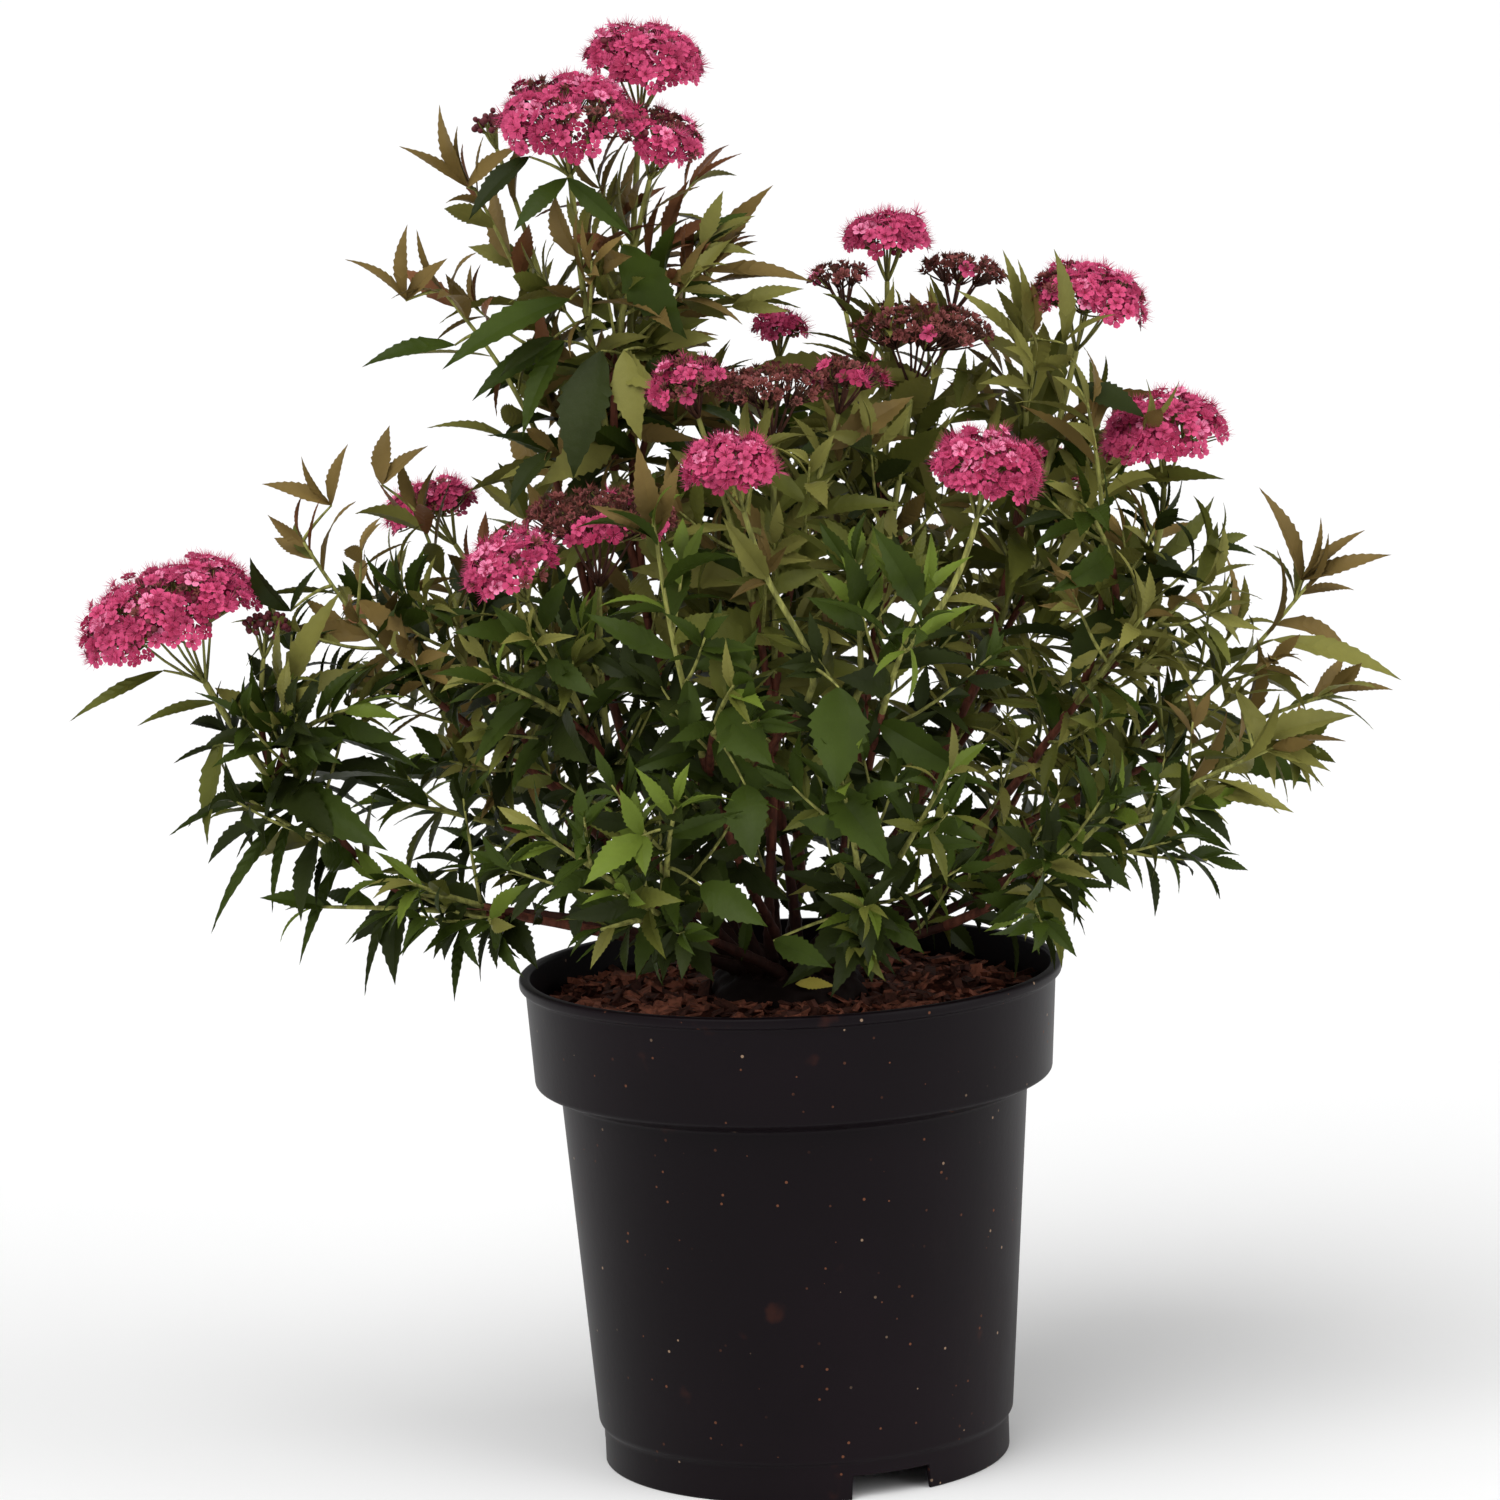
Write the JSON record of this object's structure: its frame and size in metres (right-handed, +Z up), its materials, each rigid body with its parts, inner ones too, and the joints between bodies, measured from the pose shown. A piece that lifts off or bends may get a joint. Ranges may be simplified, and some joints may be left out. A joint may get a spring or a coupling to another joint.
{
  "type": "potted spirea shrub",
  "caption": "Bushy spirea shrub in leaf, with flat pink flower heads and browned older ones, standing in a black plastic nursery pot.",
  "frame": {"origin": "centre of the pot's flat underside", "axes": "+Z up along the pot's axis, -Y towards the viewer of the picture, and +X to the picture's right"},
  "size_m": [0.5529, 0.3862, 0.5958],
  "materials": {
    "pot_plastic": "black satin plastic, scuffed a little",
    "compost": "moist, dark, with red-brown bark chips",
    "bark": "thin red-brown bark",
    "foliage": "matt green leaves, bronze at the tips, with pink and browned flower heads"
  },
  "bodies": {
    "root": {"bough_back_centre": "bark", "bough_back_left": "bark", "bough_back_low_left": "bark", "bough_back_low_middle": "bark", "bough_back_low_right": "bark", "bough_back_right": "bark", "bough_back_top": "bark", "bough_front_centre": "bark", "bough_front_left": "bark", "bough_front_low_left": "bark", "bough_front_low_right": "bark", "bough_front_right": "bark", "bough_left_arch": "bark", "bough_left_low": "bark", "bough_mid_left": "bark", "bough_right_bottom": "bark", "bough_right_far": "bark", "bough_right_low": "bark", "bough_right_mid": "bark", "bough_right_upper": "bark", "bough_tall_crown": "bark", "bough_tall_left": "bark", "bough_top_centre": "bark", "bough_top_right": "bark", "foliage_back_centre": "foliage", "foliage_back_left": "foliage", "foliage_back_low_left": "foliage", "foliage_back_low_middle": "foliage", "foliage_back_low_right": "foliage", "foliage_back_right": "foliage", "foliage_back_top": "foliage", "foliage_front_centre": "foliage", "foliage_front_left": "foliage", "foliage_front_low_left": "foliage", "foliage_front_low_right": "foliage", "foliage_front_right": "foliage", "foliage_left_arch": "foliage", "foliage_left_low": "foliage", "foliage_mid_left": "foliage", "foliage_right_bottom": "foliage", "foliage_right_far": "foliage", "foliage_right_low": "foliage", "foliage_right_mid": "foliage", "foliage_right_upper": "foliage", "foliage_tall_crown": "foliage", "foliage_tall_left": "foliage", "foliage_top_centre": "foliage", "foliage_top_right": "foliage", "pot": "pot_plastic", "root_crown": "bark", "soil": "compost"}
  },
  "joints": []
}
